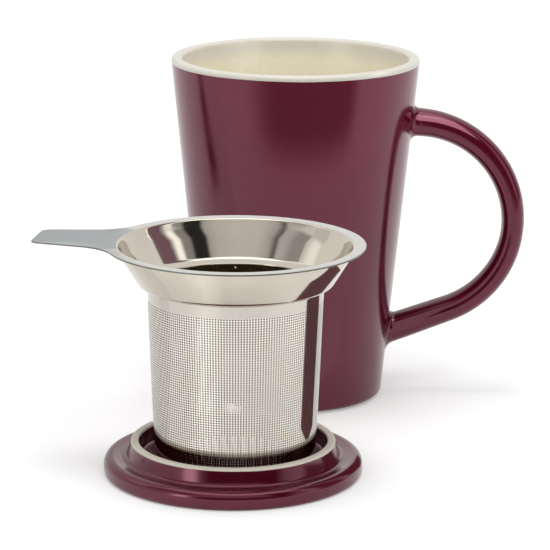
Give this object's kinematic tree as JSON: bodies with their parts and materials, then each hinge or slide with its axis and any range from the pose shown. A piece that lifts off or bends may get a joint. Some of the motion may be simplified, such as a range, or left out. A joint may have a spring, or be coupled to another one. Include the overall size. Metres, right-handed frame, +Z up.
{
  "type": "lidded mug with infuser",
  "caption": "Tapered stoneware tea mug with a loop handle, a ringed lid that doubles as a drip dish, and a steel rim-hung infuser.",
  "frame": {"origin": "centre of the mug's foot on the table", "axes": "+Z up, +X towards the mug's handle, -Y towards the lid and infuser"},
  "size_m": [0.1768, 0.1908, 0.129],
  "materials": {
    "burgundy_glaze": "satin glaze",
    "cream_glaze": "gloss glaze",
    "bare_stoneware": "unglazed, matte",
    "polished_steel": "polished",
    "pierced_steel": "polished, pierced"
  },
  "bodies": {
    "mug": {"mug_body": "burgundy_glaze", "mug_lining": "cream_glaze", "mug_foot": "bare_stoneware", "mug_handle": "burgundy_glaze"},
    "lid": {"lid_disc": "burgundy_glaze", "lid_ring": "burgundy_glaze", "lid_ring_edge": "bare_stoneware"},
    "infuser": {"infuser_funnel": "polished_steel", "infuser_sleeve": "pierced_steel", "infuser_base": "pierced_steel"}
  },
  "joints": [
    {"name": "lid_lift", "type": "slide", "parent": "mug", "child": "lid", "axis": [0, 0, 1], "range_m": [0, 0.14]},
    {"name": "infuser_lift", "type": "slide", "parent": "lid", "child": "infuser", "axis": [0, 0, 1], "range_m": [0, 0.14]}
  ]
}
